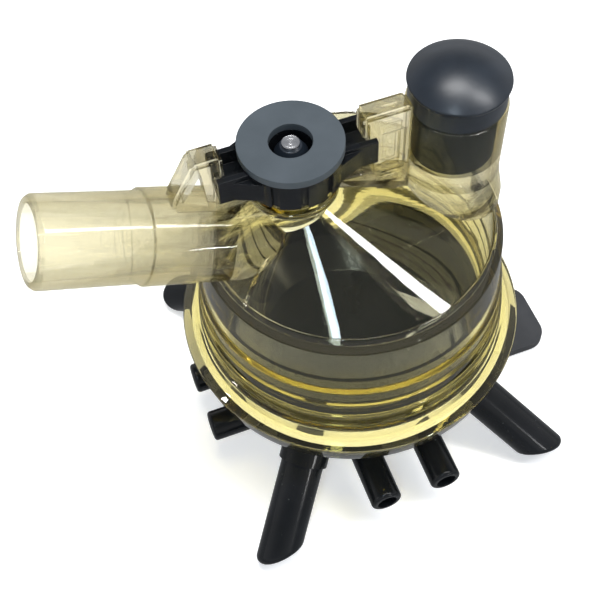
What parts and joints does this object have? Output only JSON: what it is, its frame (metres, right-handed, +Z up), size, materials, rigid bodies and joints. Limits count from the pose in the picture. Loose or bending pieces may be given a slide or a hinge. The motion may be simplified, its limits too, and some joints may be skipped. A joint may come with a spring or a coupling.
{
  "type": "milking claw",
  "caption": "Clear milking claw standing on its bevelled milk inlets: cone-roofed bowl, slanted outlet spigot, plugged port, and a shut-off valve under a hooked black yoke.",
  "frame": {"origin": "on the floor, at the height of the milk inlets' tips, under the middle of the whole claw's outline", "axes": "+Z up along the bowl axis, which stands 8.65 mm towards +X, -X towards the outlet spigot, +X towards the plugged port and the hanging hook"},
  "size_m": [0.1465, 0.1046, 0.1282],
  "materials": {
    "clear_amber": "clear polysulfone, polished",
    "black_gloss": "gloss moulded",
    "black_matte": "satin moulded",
    "rubber_grey": "matte",
    "rubber_black": "satin",
    "steel": "turned"
  },
  "bodies": {
    "base": {"inlet_cover": "black_gloss", "milk_inlet_1": "black_gloss", "milk_inlet_2": "black_gloss", "milk_inlet_3": "black_gloss", "milk_inlet_4": "black_gloss", "distributor_gasket": "rubber_black", "long_pulse_nipple_1": "black_gloss", "long_pulse_nipple_2": "black_gloss", "short_pulse_nipple_1": "black_gloss", "short_pulse_nipple_2": "black_gloss", "short_pulse_nipple_3": "black_gloss", "short_pulse_nipple_4": "black_gloss", "pulsation_distributor": "black_gloss", "hanging_hook": "black_matte", "centre_screw": "steel", "bowl_seal": "rubber_black"},
    "bowl_body": {"bowl_wall": "clear_amber", "bowl_roof": "clear_amber", "outlet_branch": "clear_amber", "outlet_spigot": "clear_amber", "port_tube": "clear_amber", "hook_web": "clear_amber", "hook_post": "clear_amber", "hook_lug": "clear_amber", "yoke": "black_gloss", "knob_disc": "rubber_grey", "neck_gasket": "rubber_black"},
    "valve": {"valve_stem": "steel", "stem_boot": "rubber_black", "valve_plunger": "rubber_black"},
    "plug": {"port_plug": "rubber_black"}
  },
  "joints": [
    {"name": "bowl_lift", "type": "slide", "parent": "base", "child": "bowl_body", "axis": [0, 0, 1], "range_m": [0, 0.05]},
    {"name": "valve_slide", "type": "slide", "parent": "bowl_body", "child": "valve", "axis": [0, 0, 1], "range_m": [-0.004, 0]},
    {"name": "plug_pull", "type": "slide", "parent": "bowl_body", "child": "plug", "axis": [0, 0, 1], "range_m": [0, 0.03]}
  ]
}
